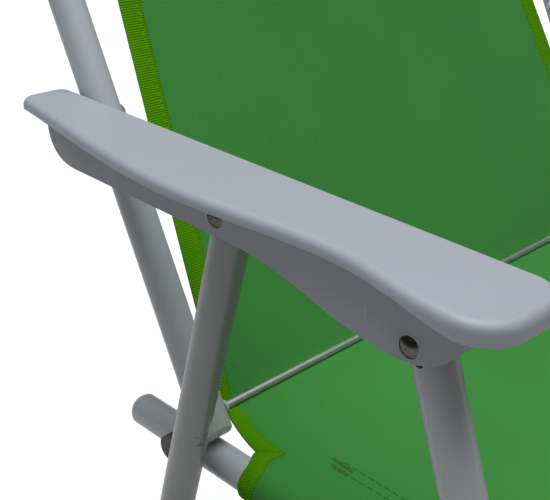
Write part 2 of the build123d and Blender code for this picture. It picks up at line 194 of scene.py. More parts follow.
# a material with its one shader, and what the looks below are put together from
class Finish:
    def __init__(self, name, settings):
        self.material = bpy.data.materials.new(name)
        self.material.use_nodes = True
        self.tree = self.material.node_tree
        self.shader = self.tree.nodes["Principled BSDF"]
        for label, value in settings.items():
            self.shader.inputs[label].default_value = value
        self.place = self.tree.nodes.new("ShaderNodeTexCoord").outputs["Object"]

    def flat(self):
        uv = self.tree.nodes.new("ShaderNodeUVMap")
        uv.uv_map = "flat"
        return uv.outputs["UV"]

    def group(self, group, place, values):
        node = self.tree.nodes.new("ShaderNodeGroup")
        node.node_tree = group
        self.tree.links.new(place, node.inputs[0])
        for label, value in values.items():
            node.inputs[label].default_value = value
        return node.outputs

    def blotch(self, place, density):
        return self.group(softBlotch, place, {"Density": density})["Mask"]

    def rub(self, density, reach):
        return self.group(rubMarks, self.place, {"Density": density, "Reach": reach})["Mask"]

    def tones(self, mask, low, high):
        ramp = self.tree.nodes.new("ShaderNodeValToRGB")
        for stop, colour in zip(ramp.color_ramp.elements, (low, high)):
            stop.color = (*colour, 1.0)
        self.tree.links.new(mask, ramp.inputs["Fac"])
        return ramp.outputs["Color"]

    def mix(self, mask, under, over):
        node = self.tree.nodes.new("ShaderNodeMix")
        node.data_type = "RGBA"
        underSocket, overSocket = node.inputs[6:8]     # the pair for colours
        self.tree.links.new(mask, node.inputs["Factor"])
        self.tree.links.new(under, underSocket)
        overSocket.default_value = (*over, 1.0)
        return node.outputs[2]

    def put(self, label, value):
        self.tree.links.new(value, self.shader.inputs[label])

    def roughness(self, mask, ends):
        self.put("Roughness", addRange(self.tree, mask, 0.0, 1.0, *ends))

    def bump(self, height, depth, strength):
        node = self.tree.nodes.new("ShaderNodeBump")
        node.inputs["Distance"].default_value = depth
        node.inputs["Strength"].default_value = strength
        self.tree.links.new(height, node.inputs["Height"])
        self.put("Normal", node.outputs["Normal"])

    def grain(self, density, depth, strength):
        self.bump(self.group(skinGrain, self.place, {"Density": density})["Height"], depth, strength)


# white enamel on the tubes; rear legs darker all over as painted shade, with a chipped patch beside the rail
legChips = {"away": (9 * mm, 26.5 * mm, -143 * mm),     # from the leg's outer side and the rear rivet
            "fade": (7 * mm, 2.1 * mm), "density": 420.0, "specks": (0.54, 0.60),
            "dark": (0.06, 0.055, 0.05)}
enamels = {
    "whiteEnamel": {"clean": (0.56, 0.58, 0.605), "dull": (0.51, 0.525, 0.545),
                    "rubbed": (0.35, 0.35, 0.34)},
    # rear legs: all tones darker than whiteEnamel's, painted shade on the same white paint
    "paintedShadeChippedEnamel": {"clean": (0.35, 0.353, 0.356), "dull": (0.315, 0.314, 0.31),
                   "rubbed": (0.235, 0.23, 0.22), "chips": legChips},
}
enamelCoat = {"ior": 1.5, "blotch": 9.0, "rub": (30.0, 0.22), "gloss": (0.42, 0.3),
              "grain": (260.0, 0.12 * mm, 0.35)}


def addChips(finish, colour, chips):
    corner = (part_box("rear_leg_frame")[0][0], *middleOf("rear_leg_rivets")[1:])
    away = finish.tree.nodes.new("ShaderNodeVectorMath")
    away.operation = "DISTANCE"
    away.inputs[1].default_value = [a + b for a, b in zip(corner, chips["away"])]
    finish.tree.links.new(finish.place, away.inputs[0])
    near = addRange(finish.tree, away.outputs["Value"], *chips["fade"])
    specks = addRange(finish.tree, addNoise(finish.tree, finish.place, chips["density"]), *chips["specks"])
    return finish.mix(addMath(finish.tree, "MULTIPLY", near, specks, clamped=True), colour, chips["dark"])


def makeEnamel(name):
    look = enamels[name]
    finish = Finish(name, {"IOR": enamelCoat["ior"]})
    blotch = finish.blotch(finish.place, enamelCoat["blotch"])
    colour = finish.tones(blotch, look["dull"], look["clean"])
    colour = finish.mix(finish.rub(*enamelCoat["rub"]), colour, look["rubbed"])
    if "chips" in look:
        colour = addChips(finish, colour, look["chips"])
    finish.put("Base Color", colour)
    finish.roughness(blotch, enamelCoat["gloss"])
    finish.grain(*enamelCoat["grain"])
    return finish.material


# white mouldings; the armrests have a short pale line where the mould was filled, near the front rivet
gateMark = {"away": (23 * mm, 6.3 * mm), "half": (0.5 * mm, 3.6 * mm), "core": 0.4,
            "tone": (0.56, 0.58, 0.61)}
mouldings = {
    "armrestWhite": {"pale": (0.443, 0.456, 0.497), "shade": (0.418, 0.431, 0.469), "gloss": (0.46, 0.36),
                     "grain": 1500.0, "gate": gateMark},
    "cupWhite": {"pale": (0.54, 0.56, 0.535), "shade": (0.48, 0.495, 0.475), "gloss": (0.52, 0.42),
                 "grain": 1100.0},
    "footWhite": {"pale": (0.55, 0.56, 0.56), "shade": (0.45, 0.455, 0.45), "gloss": (0.62, 0.5),
                  "grain": 800.0},
}
whitePlastic = {"ior": 1.47, "blotch": 11.0, "rub": (22.0, 0.16), "bump": (0.05 * mm, 0.3)}


def addGateMark(finish, colour, gate):
    split = finish.tree.nodes.new("ShaderNodeSeparateXYZ")
    finish.tree.links.new(finish.place, split.inputs[0])
    frontRivet = middleOf("front_leg_rivets")
    insides = []
    for axis, centre, away, half in zip("YZ", frontRivet[1:], gate["away"], gate["half"]):
        off = addMath(finish.tree, "SUBTRACT", split.outputs[axis], centre + away)
        off = addMath(finish.tree, "ABSOLUTE", off)
        insides.append(addRange(finish.tree, off, half, gate["core"] * half))
    return finish.mix(addMath(finish.tree, "MULTIPLY", *insides, clamped=True), colour, gate["tone"])


def makeMoulding(name):
    look = mouldings[name]
    finish = Finish(name, {"IOR": whitePlastic["ior"]})
    blotch = finish.blotch(finish.place, whitePlastic["blotch"])
    colour = finish.tones(blotch, look["shade"], look["pale"])
    colour = finish.mix(finish.rub(*whitePlastic["rub"]), colour, look["shade"])
    if "gate" in look:
        colour = addGateMark(finish, colour, look["gate"])
    finish.put("Base Color", colour)
    finish.roughness(blotch, look["gloss"])
    finish.grain(look["grain"], *whitePlastic["bump"])
    return finish.material


# rivets and rod; edge is the reflection at a grazing angle
metals = {
    # rivets: colours and edge far darker than bare nickel, a painted dark reflection of the surroundings
    "nickelWithPaintedReflection": {"bright": (0.10, 0.096, 0.086), "dim": (0.06, 0.057, 0.051), "gloss": (0.36, 0.22),
               "edge": 0.35},
    "drawnSteel": {"bright": (0.66, 0.68, 0.67), "dim": (0.52, 0.54, 0.53), "gloss": (0.56, 0.42),
                   "edge": 1.0},
}
metalSkin = {"blotch": 160.0, "rub": (90.0, 0.4), "bump": (0.03 * mm, 0.4)}


def makeMetal(name):
    look = metals[name]
    edge = look["edge"]
    finish = Finish(name, {"Metallic": 1.0, "Specular Tint": (edge, edge, edge, 1.0)})
    blotch = finish.blotch(finish.place, metalSkin["blotch"])
    rub = finish.rub(*metalSkin["rub"])
    finish.put("Base Color", finish.mix(rub, finish.tones(blotch, look["dim"], look["bright"]), look["dim"]))
    finish.roughness(blotch, look["gloss"])
    finish.bump(rub, *metalSkin["bump"])
    return finish.material


darkPlate = {"base": (0.045, 0.04, 0.036), "worn": (0.09, 0.082, 0.075), "ior": 1.47, "blotch": 70.0,
             "gloss": (0.5, 0.68), "grain": (700.0, 0.08 * mm, 0.5)}


def makeDarkPlate():
    finish = Finish("darkPlate", {"IOR": darkPlate["ior"]})
    blotch = finish.blotch(finish.place, darkPlate["blotch"])
    finish.put("Base Color", finish.tones(blotch, darkPlate["base"], darkPlate["worn"]))
    finish.roughness(blotch, darkPlate["gloss"])
    finish.grain(*darkPlate["grain"])
    return finish.material


# cloth and tape; pitch is from rib to rib and from thread to thread; groove is painted shade in the rib
# grooves
weaves = {
    "slingGreen": {"deep": (0.044, 0.255, 0.039), "fresh": (0.054, 0.29, 0.048),
                   "groove": (0.035, 0.21, 0.031), "grooveShadeShare": 0.07,
                   "pitch": (1.45 * mm, 0.8 * mm), "depth": 0.04 * mm, "specular": 0.25, "sheen": 0.08},
    "bindingLime": {"deep": (0.080, 0.29, 0.0), "fresh": (0.115, 0.375, 0.0),
                    "groove": (0.044, 0.19, 0.0), "grooveShadeShare": 0.5,
                    "pitch": (1.5 * mm, 6 * mm), "depth": 0.3 * mm, "specular": 0.06, "sheen": 0.0},
}
clothSkin = {"rough": 0.82, "blotch": 7.0, "bump": 0.8}


def makeWeave(name):
    look = weaves[name]
    finish = Finish(name, {"Roughness": clothSkin["rough"], "Sheen Weight": look["sheen"],
                           "Specular IOR Level": look["specular"]})
    flat = finish.flat()
    ribPitch, threadPitch = look["pitch"]
    colour = finish.tones(finish.blotch(flat, clothSkin["blotch"]), look["deep"], look["fresh"])
    weave = finish.group(ribWeave, flat, {"Rib pitch": ribPitch, "Thread pitch": threadPitch})
    groove = addMath(finish.tree, "MULTIPLY", weave["Groove"], look["grooveShadeShare"])
    # darker colour in the rib grooves: painted shade
    finish.put("Base Color", finish.mix(groove, colour, look["groove"]))
    finish.bump(weave["Height"], look["depth"], clothSkin["bump"])
    return finish.material


threads = {
    "limeThread": {"deep": (0.105, 0.34, 0.0), "fresh": (0.16, 0.43, 0.01)},
    "darkThread": {"deep": (0.034, 0.185, 0.022), "fresh": (0.05, 0.23, 0.032)},
    "oliveThread": {"deep": (0.044, 0.185, 0.02), "fresh": (0.07, 0.23, 0.034)},
}
threadSkin = {"rough": 0.8, "specular": 0.15, "strand": 1800.0, "bump": (0.1 * mm, 0.6)}


def makeThread(name):
    look = threads[name]
    finish = Finish(name, {"Roughness": threadSkin["rough"], "Specular IOR Level": threadSkin["specular"]})
    strand = addNoise(finish.tree, finish.place, threadSkin["strand"])
    finish.put("Base Color", finish.tones(strand, look["deep"], look["fresh"]))
    finish.bump(strand, *threadSkin["bump"])
    return finish.material


whiteEnamel = makeEnamel("whiteEnamel")
paintedShadeChippedEnamel = makeEnamel("paintedShadeChippedEnamel")
armrestWhite = makeMoulding("armrestWhite")
cupWhite = makeMoulding("cupWhite")
footWhite = makeMoulding("footWhite")
nickelWithPaintedReflection = makeMetal("nickelWithPaintedReflection")
drawnSteel = makeMetal("drawnSteel")
bumperDark = makeDarkPlate()
slingGreen = makeWeave("slingGreen")
bindingLime = makeWeave("bindingLime")
limeThread = makeThread("limeThread")
darkThread = makeThread("darkThread")
oliveThread = makeThread("oliveThread")


def dressNode(name, material):
    mesh = nodes[name].data
    mesh.materials.clear()
    mesh.materials.append(material)


finishes = {
    "armrest_right": armrestWhite, "armrest_left": armrestWhite,
    # rivets: nickel darkened as a painted dark reflection
    "rear_leg_rivets": nickelWithPaintedReflection, "front_leg_rivets": nickelWithPaintedReflection, "back_rivets": whiteEnamel,
    "crease_rod": drawnSteel,
    "back_frame": whiteEnamel, "seat_frame": whiteEnamel,
    # rear legs: enamel darkened with painted shade
    "rear_leg_frame": paintedShadeChippedEnamel, "front_leg_frame": whiteEnamel,
    "hinge_bracket_right": whiteEnamel, "hinge_bracket_left": whiteEnamel,
    "leg_bumper_right": bumperDark, "leg_bumper_left": bumperDark,
}
for nodeName in nodes:
    if nodeName.endswith("fabric"):
        continue
    plain = footWhite if nodeName.endswith(("_foot_right", "_foot_left")) else cupWhite
    dressNode(nodeName, finishes.get(nodeName, plain))
print("finishes on", len(nodes), "nodes")


# the sling: one strip of cloth, top bar to seat front
sling = {
    "halfThick": 0.45 * mm,
    "sleeveRoom": 1.25 * mm,     # middle of the cloth off the tube
    "rodRoom": 0.35 * mm,        # cloth off the rod
    "rodTurn": 100.0,            # degrees behind the rod
    "topSeam": 42 * mm,          # top sleeve's seam below the bar
    "topLap": 1.1 * mm,          # sleeve's rear layer behind the front one
    "seatSeam": 40 * mm,         # rail sleeve's seam inboard of the rail
    "seatLap": 1.2 * mm,         # sleeve's lower layer under the upper one
    "backBow": 7 * mm,
    "edgeBow": 0.8 * mm,
    "seatSag": 20 * mm,          # below the rail axis
    "sagReach": 62 * mm,
    "sleeveStart": 29.5 * mm,    # ahead of the rod
    "sleeveSlant": 6.5 * mm,     # sleeve's rear edge runs forward round the rail
    "slantGrow": 14 * mm,        # across the rail
    "slantFade": 70 * mm,        # along the rail
    "sleeveBack": 0.31,          # radians past half a turn, where the cloth leaves the rail
    "sleeveTail": 37 * mm,       # from there to the seam
    "creaseInset": 12.4 * mm,    # cut edge inboard of the rails, down the back
    "midInset": 35.5 * mm,
    "topInset": 59 * mm,
    "sleeveInset": 9 * mm,
    "midRise": 0.52,             # share of the back's height, as in the next line
    "edgeBend": (0.22, 0.6),     # where the cut edge starts to bend, and over how much
    "dropPower": 1.6,            # the edge falls fastest just ahead of the rod
    "seamRows": 6,               # rows of the mesh, from the top seam to the bar
    "barRows": 22,
    "backRows": 68,
    "rodRows": 12,
    "flapRows": 12,              # from the rod to the sleeves
    "fineStep": 2.5 * mm,        # rows of the seat, closer behind the tacks
    "fineReach": 90 * mm,
    "plainStep": 5 * mm,
    "lastGap": 2 * mm,
    "columns": 72,
    "evenShare": 0.45,           # the rest crowds the columns towards the edges
    "sleeveColumns": 26,
}
sleeveRadius = tubeRadius + sling["sleeveRoom"]
creaseEdge = railX - sling["creaseInset"]
midEdge = railX - sling["midInset"]
topEdge = railX - sling["topInset"]
sleeveEdge = railX - sling["sleeveInset"]
rodWrap = rodRadius + sling["halfThick"] + sling["rodRoom"]


def clamp(t):
    return min(max(t, 0.0), 1.0)


def smooth(t):
    t = clamp(t)
    return t * t * (3 - 2 * t)


def between(first, last, steps):
    return [tuple(a + (b - a) * i / steps for a, b in zip(first, last)) for i in range(steps + 1)]


def around(centre, radius, first, last, steps):
    angles = [first + (last - first) * i / steps for i in range(steps + 1)]
    return [(centre + radius * math.cos(angle), radius * math.sin(angle)) for angle in angles]


# line of the back from the top sleeve's rear seam, over the bar, down to the rod and round behind it,
# as places up the back from the rod and ahead of it
def backLine():
    seam = (backSpan - sling["topSeam"], 0.0)
    rearSeam = (seam[0], -sling["topLap"])
    lead = math.acos(sleeveRadius / sling["topSeam"])
    overBar = around(backSpan, sleeveRadius, math.pi + lead, 3 * math.pi - lead, sling["barRows"])
    quarter = -math.pi / 2
    roundRod = around(0.0, rodWrap, quarter, quarter - math.radians(sling["rodTurn"]), sling["rodRows"])
    places = between(rearSeam, overBar[0], sling["seamRows"])[:-1] + overBar
    places += between(overBar[-1], seam, sling["seamRows"])[1:]
    places += between(seam, roundRod[0], sling["backRows"])[1:-1] + roundRod
    return places


backPath = backLine()
backCurve = [rod + backUp * along + backAhead * ahead for along, ahead in backPath]
runs = [0.0]
for a, b in zip(backCurve, backCurve[1:]):
    runs.append(runs[-1] + (b - a).length)
seamRun = runs[2 * sling["seamRows"] + sling["barRows"]]
creaseRun = runs[-1]
cornerRun = creaseRun + sling["sleeveStart"]
seatStart = backCurve[-1]
seatRun = seatStart.y - seatFront


# step of the back's line at a run down the sling, and the share of it
def onLine(run):
    i = min(bisect_left(runs, run, 1), len(runs) - 1) - 1
    return i, clamp((run - runs[i]) / (runs[i + 1] - runs[i]))


def backAlong(run):
    i, t = onLine(run)
    return backPath[i][0] + (backPath[i + 1][0] - backPath[i][0]) * t


def panelShare(run):
    return clamp((run - seamRun) / (creaseRun - seamRun))


# half width of the cut cloth at a run down the sling
def halfWidth(run):
    if run >= creaseRun:
        return creaseEdge + (sleeveEdge - creaseEdge) * clamp((run - creaseRun) / sling["sleeveStart"])
    rise = clamp(backAlong(run) / backSpan)
    middle = sling["midRise"]
    lower = creaseEdge + (midEdge - creaseEdge) * (rise / middle)
    upper = midEdge + (topEdge - midEdge) * ((rise - middle) / (1 - middle))
    bendFrom, bendOver = sling["edgeBend"]
    t = smooth((rise - bendFrom) / bendOver)
    return lower * (1 - t) + upper * t


# height of the seat over the rails, and the sag from there to its middle
def seatSection(ahead):
    edgeZ = railZ + sleeveRadius
    riseLeft = max(1 - ahead / sling["sleeveStart"], 0.0) ** sling["dropPower"]
    edge = edgeZ + (seatStart.z - edgeZ) * riseLeft
    low = railZ - sling["seatSag"]
    middle = low + (seatStart.z - low) * math.exp(-ahead / sling["sagReach"])
    return edge, edge - middle


# slope of the cloth where it leaves the rail, and its place across
def sleeveLeave(sag):
    lean = math.atan(2 * sag / railX)
    return lean, railX - sleeveRadius * math.sin(lean)


def sleeveEnd(ahead):
    lean, leave = sleeveLeave(seatSection(ahead)[1])
    return leave + sleeveRadius * (lean + math.pi + sling["sleeveBack"]) + sling["sleeveTail"]


# place of the seat cloth: sagging between the rails, then round a rail and back to the seam
def seatPlace(across, ahead):
    edge, sag = seatSection(ahead)
    lean, leave = sleeveLeave(sag)
    side = -1 if across < 0 else 1
    wide = abs(across)
    leaveZ = edge - sleeveRadius * (1 - math.cos(lean))
    past = smooth((wide - sleeveEdge) / sling["slantGrow"])
    past *= 1 - smooth((ahead - sling["sleeveStart"]) / sling["slantFade"])
    y = seatStart.y - ahead - sling["sleeveSlant"] * past
    if wide <= leave:
        return Vector((side * wide, y, leaveZ - sag * (1 - (wide / leave) ** 2)))
    seamX = railX - sling["seatSeam"]
    seamZ = leaveZ - sag * (1 - (seamX / leave) ** 2) - sling["seatLap"]
    centreZ = edge - sleeveRadius
    run, rise = sling["seatSeam"], seamZ - centreZ
    back = math.asin(sleeveRadius / math.hypot(run, rise)) + math.atan2(rise, run)
    turn = (wide - leave) / sleeveRadius
    last = lean + math.pi + back
    angle = min(turn, last) - lean
    x = railX + sleeveRadius * math.sin(angle)
    z = centreZ + sleeveRadius * math.cos(angle)
    if turn > last:
        straight = math.sqrt(run * run + rise * rise - sleeveRadius ** 2)
        t = clamp((turn - last) * sleeveRadius / straight)
        x += (seamX - x) * t
        z += (seamZ - z) * t
    return Vector((side * x, y, z))


def backPoint(across, run):
    i, t = onLine(run)
    place = backCurve[i].lerp(backCurve[i + 1], t)
    share = panelShare(run)
    belly = 4 * share * (1 - share)
    wide = min(abs(across) / halfWidth(run), 1.0)
    bow = sling["edgeBow"] + (sling["backBow"] - sling["edgeBow"]) * (1 - wide ** 2)
    return Vector((across, place.y, place.z)) - backAhead * bow * belly


def clothBase(across, run):
    if run <= creaseRun:
        return backPoint(across, run)
    return seatPlace(across, run - creaseRun)


# soft creases pulled from the tape's corner towards the tack,
# each from one place inboard of the rail and ahead of the rod to another
creases = {
    "lines": (((17 * mm, 48 * mm), (42 * mm, 57 * mm)), ((11 * mm, 62 * mm), (40 * mm, 70 * mm))),
    "depths": (1.0 * mm, 0.6 * mm),
    "width": 4.5 * mm,
    "grow": (-0.3, 0.4),         # start and length of the rise and of the fade, shares of the line
    "fade": (0.9, 0.6),
}


def creaseDip(side, ahead):
    spot = Vector((railX - side, ahead))
    growFrom, growOver = creases["grow"]
    fadeFrom, fadeOver = creases["fade"]
    dip = 0.0
    for (first, last), depth in zip(creases["lines"], creases["depths"]):
        first, last = Vector(first), Vector(last)
        along = last - first
        t = (spot - first).dot(along) / along.length_squared
        away = (spot - first - along * t).length
        share = smooth((t - growFrom) / growOver) * smooth((fadeFrom + fadeOver - t) / fadeOver)
        dip += depth * share * math.exp(-(away / creases["width"]) ** 2)
    return dip


# slack in the cloth: broad waves, and short tugs beside the sleeves
slackness = {
    "back": {"size": (150 * mm, 190 * mm), "slice": 0.4, "depth": 1.6 * mm},
    "seat": {"size": (120 * mm, 110 * mm), "slice": 3.1, "depth": 1.8 * mm},
    "tug": {"size": (60 * mm, 34 * mm), "slice": 7.7, "depth": 1.5 * mm},
    "backFade": (0.1, 0.08),     # shares of the back, at the seam and at the rod
    "seatFade": 22 * mm,         # ahead of the rod
    "tugInset": 29 * mm,         # inboard of the rail
    "tugWidth": 20 * mm,
    "sleeveInset": 3 * mm,
    "sleeveFade": 16 * mm,
}


def wave(across, along, look):
    sizeAcross, sizeAlong = look["size"]
    spot = Vector((across / sizeAcross, along / sizeAlong, look["slice"]))
    return look["depth"] * noise.noise(spot)


def slack(across, run):
    if run <= creaseRun:
        share = panelShare(run)
        seamFade, rodFade = slackness["backFade"]
        fade = smooth(share / seamFade) * smooth((1 - share) / rodFade)
        return fade * wave(across, run, slackness["back"])
    ahead = run - creaseRun
    side = abs(across)
    fade = smooth(ahead / slackness["seatFade"])
    fade *= smooth((railX - slackness["sleeveInset"] - side) / slackness["sleeveFade"])
    tug = math.exp(-((railX - slackness["tugInset"] - side) / slackness["tugWidth"]) ** 2)
    tug *= wave(side, ahead, slackness["tug"])
    return fade * (wave(across, ahead, slackness["seat"]) + tug - creaseDip(side, ahead))


def clothPoint(across, run, lift=0.0):
    step = 0.6 * mm
    alongX = clothBase(across + step, run) - clothBase(across - step, run)
    if run + step > creaseRun > run - step:
        alongRun = clothBase(across, creaseRun) - clothBase(across, creaseRun - step)
    else:
        alongRun = clothBase(across, run + step) - clothBase(across, run - step)
    normal = alongRun.cross(alongX).normalized()
    return clothBase(across, run) + normal * (slack(across, run) + lift)


def buildMesh(name, points, faces, material, flat=None):
    mesh = bpy.data.meshes.new(name)
    mesh.from_pydata([tuple(p) for p in points], [], faces)
    mesh.materials.append(material)
    if flat is not None:
        layer = mesh.uv_layers.new(name="flat")
        for loop in mesh.loops:
            layer.data[loop.index].uv = flat[loop.vertex_index]
    for face in mesh.polygons:
        face.use_smooth = True
    mesh.update()
    piece = bpy.data.objects.new(name, mesh)
    scene.collection.objects.link(piece)
    return piece


def thicken(piece, thickness):
    modifier = piece.modifiers.new("solidify", "SOLIDIFY")
    modifier.thickness = thickness
    modifier.offset = 0.0
    with bpy.context.temp_override(object=piece, active_object=piece):
        bpy.ops.object.modifier_apply(modifier=modifier.name)


def seatRows():
    rows = [sling["sleeveStart"] * i / sling["flapRows"] for i in range(sling["flapRows"])]
    ahead = sling["sleeveStart"]
    while ahead < seatRun - sling["lastGap"]:
        rows.append(ahead)
        ahead += sling["fineStep"] if ahead < sling["fineReach"] else sling["plainStep"]
    return rows + [seatRun]


def makeSling():
    columns, sleeveColumns, even = sling["columns"], sling["sleeveColumns"], sling["evenShare"]
    rows = runs[:-1] + [creaseRun + ahead for ahead in seatRows()]
    points, flat, faces, grid = [], [], [], []

    def addPoint(across, run):
        points.append(clothPoint(across, run))
        flat.append((across, run))
        return len(points) - 1

    for run in rows:
        shares = [2 * i / columns - 1 for i in range(columns + 1)]
        spread = [even * share + (1 - even) * math.sin(share * math.pi / 2) for share in shares]
        grid.append([addPoint(halfWidth(run) * share, run) for share in spread])
    for upper, lower in zip(grid, grid[1:]):
        for i in range(columns):
            faces.append((upper[i], upper[i + 1], lower[i + 1], lower[i]))
    firstSleeve = next(i for i, run in enumerate(rows) if run >= cornerRun)
    for side, edge in ((-1, 0), (1, columns)):
        strips = []
        for run, row in zip(rows[firstSleeve:], grid[firstSleeve:]):
            start, stop = halfWidth(run), sleeveEnd(run - creaseRun)
            sleeve = [start + (stop - start) * i / sleeveColumns for i in range(1, sleeveColumns + 1)]
            strips.append([row[edge]] + [addPoint(side * across, run) for across in sleeve])
        for upper, lower in zip(strips, strips[1:]):
            for i in range(sleeveColumns):
                quad = (upper[i], upper[i + 1], lower[i + 1], lower[i])
                faces.append(quad if side > 0 else quad[::-1])
    piece = buildMesh("sling", points, faces, slingGreen, flat)
    area = sum(face.area for face in piece.data.polygons)
    thicken(piece, 2 * sling["halfThick"])
    print("sling", len(piece.data.polygons), "faces, area", round(area, 4))
    return piece, area


slingPiece, slingArea = makeSling()


# lime tape folded over the cut edges
tape = {
    "width": 16.2 * mm,
    "rodWidth": 8.5 * mm,
    "seatWidth": 12.6 * mm,
    "narrowFrom": 110 * mm,      # up the back from the rod
    "corner": (12 * mm, 12 * mm),    # widths on both sides of the corner at the sleeve
    "cornerShare": 0.3,
    "endInset": 1 * mm,
    "thick": 0.55 * mm,
    "step": 2.5 * mm,
    "stitchAt": 0.74,            # share of the width from the cut edge
    "stitch": 3.0 * mm,
    "gap": 1.1 * mm,
    "thread": 0.34 * mm,
}
tapeLift = sling["halfThick"] + tape["thick"]

# section of the tape: shares of its width from the cut edge and of its lift
tapeTop = [(1.0, 0.45), (0.985, 0.95), (0.86, 1.0), (0.72, 1.0), (0.58, 1.0), (0.44, 1.0), (0.3, 1.0),
           (0.15, 1.0), (0.03, 0.8)]
tapeLoop = tapeTop + [(-0.02, 0.0)] + [(inward, -height) for inward, height in reversed(tapeTop)]


def tapeWidth(run):
    narrow = smooth((run - creaseRun + tape["narrowFrom"]) / tape["narrowFrom"])
    width = tape["width"] + (tape["rodWidth"] - tape["width"]) * narrow
    past = clamp((run - creaseRun) / sling["sleeveStart"])
    return width + (tape["corner"][0] - tape["rodWidth"]) * math.sqrt(past)


# places across and along the cloth: tape down the side edge, round the sleeve's rear edge and at the front
def sideTape(side, share, inward):
    run = (cornerRun + tape["corner"][1] * inward) * share
    return side * (halfWidth(min(run, cornerRun)) - tapeWidth(run) * inward), run


def sleeveTape(side, share, inward):
    start = halfWidth(cornerRun) - tape["corner"][0] * inward
    stop = sleeveEnd(sling["sleeveStart"]) - tape["endInset"]
    wide = tape["corner"][1] + (tape["seatWidth"] - tape["corner"][1]) * smooth(share / tape["cornerShare"])
    return side * (start + (stop - start) * share), cornerRun + wide * inward


def frontTape(side, share, inward):
    stop = sleeveEnd(seatRun) - tape["endInset"]
    return side * stop * (2 * share - 1), creaseRun + seatRun - tape["seatWidth"] * inward


def turnFacesOut(piece):
    bpy.context.view_layer.objects.active = piece
    with bpy.context.temp_override(object=piece, active_object=piece, selected_objects=[piece]):
        bpy.ops.object.mode_set(mode="EDIT")
        bpy.ops.mesh.select_all(action="SELECT")
        bpy.ops.mesh.normals_make_consistent(inside=False)
        bpy.ops.object.mode_set(mode="OBJECT")


def makeTape(name, route, side, length):
    steps = round(length / tape["step"])
    points, flat, faces = [], [], []
    for i in range(steps + 1):
        for inward, height in tapeLoop:
            across, run = route(side, i / steps, inward)
            points.append(clothPoint(across, run, height * tapeLift))
            along = run if route is sideTape else i / steps * length     # ribs lie across the tape
            flat.append((inward * tape["width"], along))
    count = len(tapeLoop)
    for i in range(steps):
        for a in range(i * count, (i + 1) * count - 1):
            faces.append((a, a + 1, a + count + 1, a + count))
    faces.append(tuple(range(count)))
    faces.append(tuple(range(steps * count, (steps + 1) * count))[::-1])
    piece = buildMesh(name, points, faces, bindingLime, flat)
    turnFacesOut(piece)
    return piece


# one sewn stitch: a short thread that dips into the cloth at both ends; each ring is a share of the length,
# a share of the radius and a lift in radii
stitchRings = ((0.0, 0.35, -0.9), (0.16, 0.9, 0.0), (0.5, 1.0, 0.15), (0.84, 0.9, 0.0), (1.0, 0.35, -0.9))
stitchSides = 6


def addStitch(points, faces, start, end, up, radius):
    along = end - start
    cross = along.cross(up).normalized()
    rise = cross.cross(along).normalized()
    first = len(points)
    for share, size, lift in stitchRings:
        centre = start + along * share + rise * lift * radius
        for k in range(stitchSides):
            angle = math.tau * k / stitchSides
            points.append(centre + (cross * math.cos(angle) + rise * math.sin(angle)) * radius * size)
    last = first + (len(stitchRings) - 1) * stitchSides
    for ring in range(first, last, stitchSides):
        for k in range(stitchSides):
            a, b = ring + k, ring + (k + 1) % stitchSides
            faces.append((a, b, b + stitchSides, a + stitchSides))
    faces.append(tuple(range(first, first + stitchSides))[::-1])
    faces.append(tuple(range(last, last + stitchSides)))


def sewAlong(points, faces, route, length, lift, look):
    pitch = look["stitch"] + look["gap"]
    count = round(length / pitch)
    for i in range(count):
        a = route(i / count)
        b = route((i + look["stitch"] / pitch) / count)
        start, end = clothPoint(*a, lift), clothPoint(*b, lift)
        up = clothPoint(*a, lift + mm) - start
        addStitch(points, faces, start, end, up, look["thread"])


tapes, stitchPieces = [], []
sideLength = cornerRun
sleeveLength = sleeveEnd(sling["sleeveStart"]) - halfWidth(cornerRun)
frontLength = 2 * sleeveEnd(seatRun)
for side, label in ((-1, "right"), (1, "left")):
    tapes.append((makeTape("side_tape_" + label, sideTape, side, sideLength), True))
    tapes.append((makeTape("sleeve_tape_" + label, sleeveTape, side, sleeveLength), False))
    points, faces = [], []
    for route, length in ((sideTape, sideLength), (sleeveTape, sleeveLength)):
        sewAlong(points, faces, lambda t: route(side, t, tape["stitchAt"]), length, tapeLift, tape)
    stitchPieces.append((buildMesh("tape_stitches_" + label, points, faces, limeThread), True))
tapes.append((makeTape("front_tape", frontTape, 1, frontLength), False))
print("tapes", len(tapes))


# double seam of the rail sleeves, and the top sleeve's seam
seam = {
    "lines": (-3.8 * mm, 4.0 * mm),
    "start": 66 * mm,            # ahead of the rod
    "topLines": (2.5 * mm, 7 * mm),      # above the edge of the top sleeve
    "stitch": 5.0 * mm,
    "gap": 0.9 * mm,
    "thread": 0.42 * mm,
    "lift": 0.5 * mm,
}

# two bars of close stitches at the rear end of each rail seam
tack = {
    "bars": ((-1.2 * mm, 59 * mm, 16 * mm), (4 * mm, 63 * mm, 12.5 * mm)),   # place across, start, length
    "rows": 4,
    "pitch": 0.75 * mm,
    "stagger": 1.6 * mm,
    "stitch": 4.6 * mm,
    "gap": 0.3 * mm,
    "thread": 0.48 * mm,
}


# a row of stitches along the seam inboard of one rail; first is ahead of the rod
def sewBesideRail(points, faces, side, offset, first, length, look):
    across = side * (railX - sling["seatSeam"] + offset)
    sewAlong(points, faces, lambda t: (across, creaseRun + first + length * t), length, seam["lift"], look)


points, faces = [], []
seamLength = seatRun - tape["width"] - seam["start"]
for side in (-1, 1):
    for offset in seam["lines"]:
        sewBesideRail(points, faces, side, offset, seam["start"], seamLength, seam)
seatSeams = buildMesh("seat_seams", points, faces, darkThread)

points, faces = [], []
for side in (-1, 1):
    for centre, start, length in tack["bars"]:
        for k in range(tack["rows"]):
            offset = centre + (k - (tack["rows"] - 1) / 2) * tack["pitch"]
            first = start + k % 2 * tack["stagger"]
            sewBesideRail(points, faces, side, offset, first, length, tack)
seatTacks = buildMesh("seat_tacks", points, faces, oliveThread)

